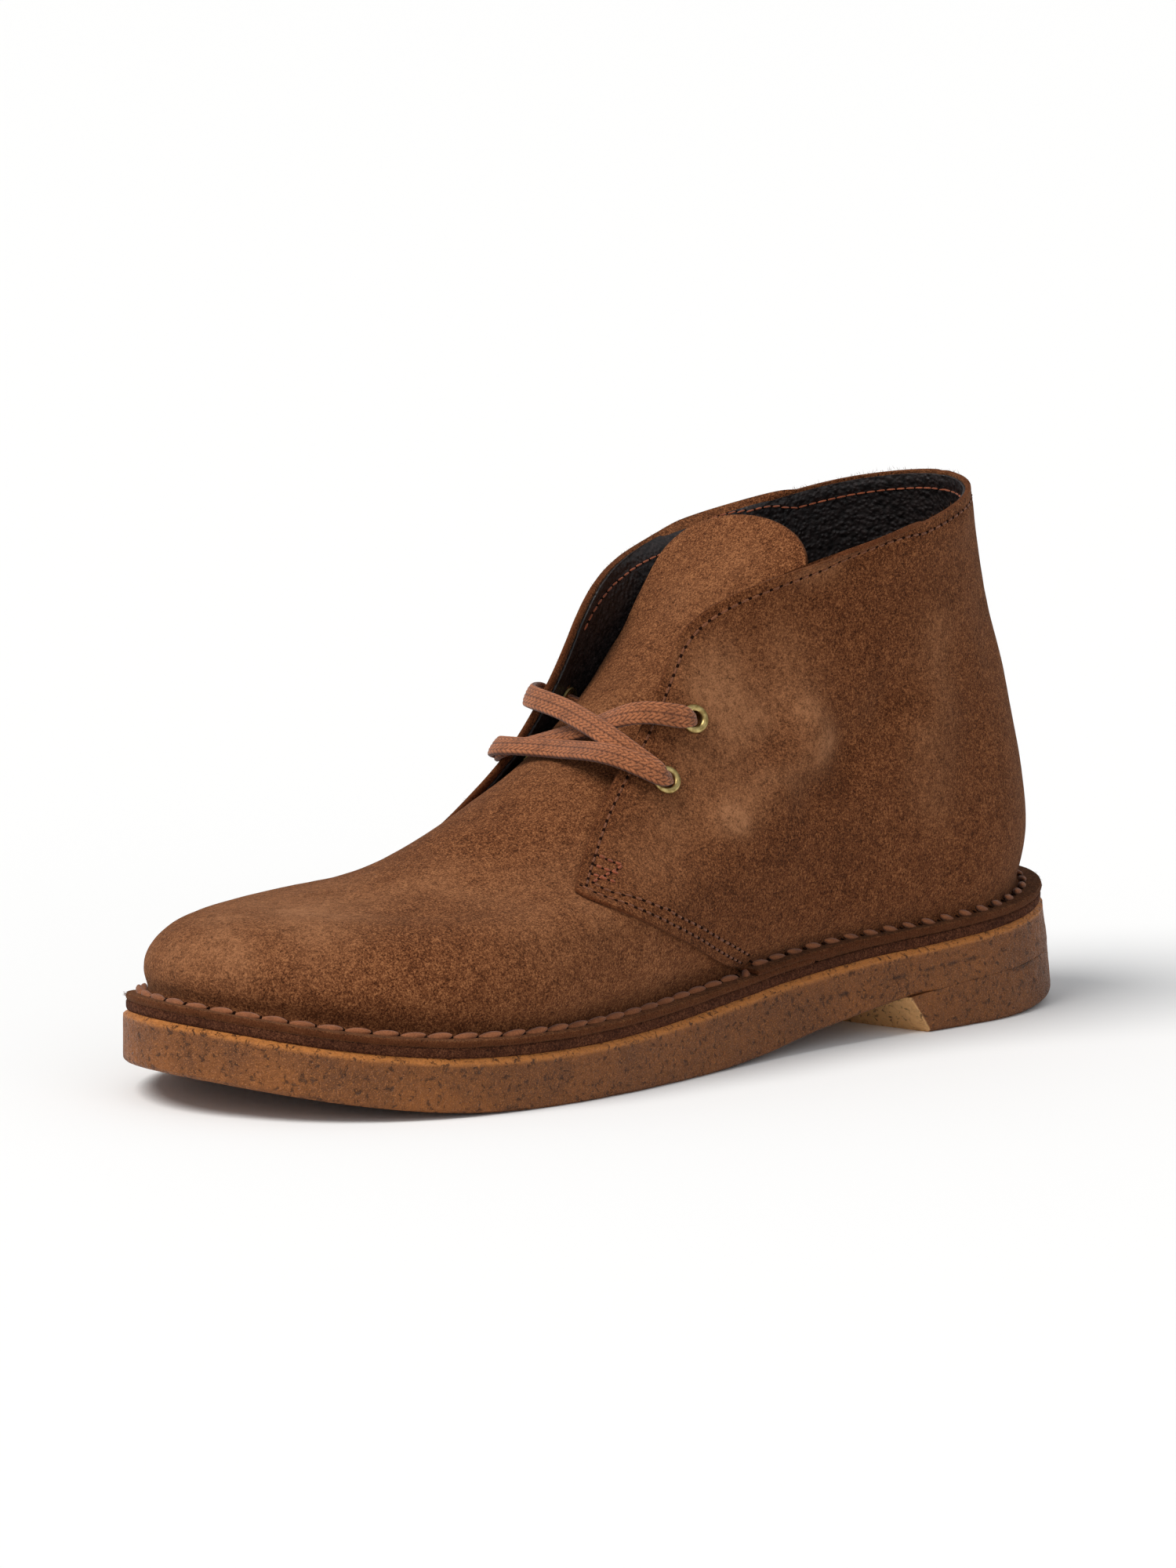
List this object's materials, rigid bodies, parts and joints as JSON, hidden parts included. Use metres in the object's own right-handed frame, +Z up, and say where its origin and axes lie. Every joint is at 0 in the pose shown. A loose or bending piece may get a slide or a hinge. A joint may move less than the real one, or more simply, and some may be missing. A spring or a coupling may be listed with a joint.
{
  "type": "desert boot",
  "caption": "Ankle-high stitchdown desert boot for the left foot, with open lacing, soft tongue, crepe outsole and low heel.",
  "frame": {"origin": "on the floor, midway between heel end and toe end, under the middle of the boot's width", "axes": "-Y from heel to toe, +X to the outer side of the foot, +Z up from the floor"},
  "size_m": [0.1087, 0.3026, 0.1463],
  "materials": {
    "suede": "napped mid-brown suede, lighter where it is brushed",
    "lining_leather": "smooth dark brown leather",
    "midsole_leather": "fuzzy cut edge of brown leather",
    "crepe": "dark plantation crepe with fine pits and a slight gloss",
    "brass": "lacquered aged brass",
    "lace_cotton": "flat woven cotton, pinkish brown"
  },
  "bodies": {
    "root": {"upper": "suede", "tongue": "suede", "insole": "lining_leather", "midsole": "midsole_leather", "outsole": "crepe", "heel": "crepe", "eyelet_lateral_upper": "brass", "eyelet_lateral_lower": "brass", "eyelet_medial_upper": "brass", "eyelet_medial_lower": "brass", "lace": "lace_cotton"}
  },
  "joints": []
}
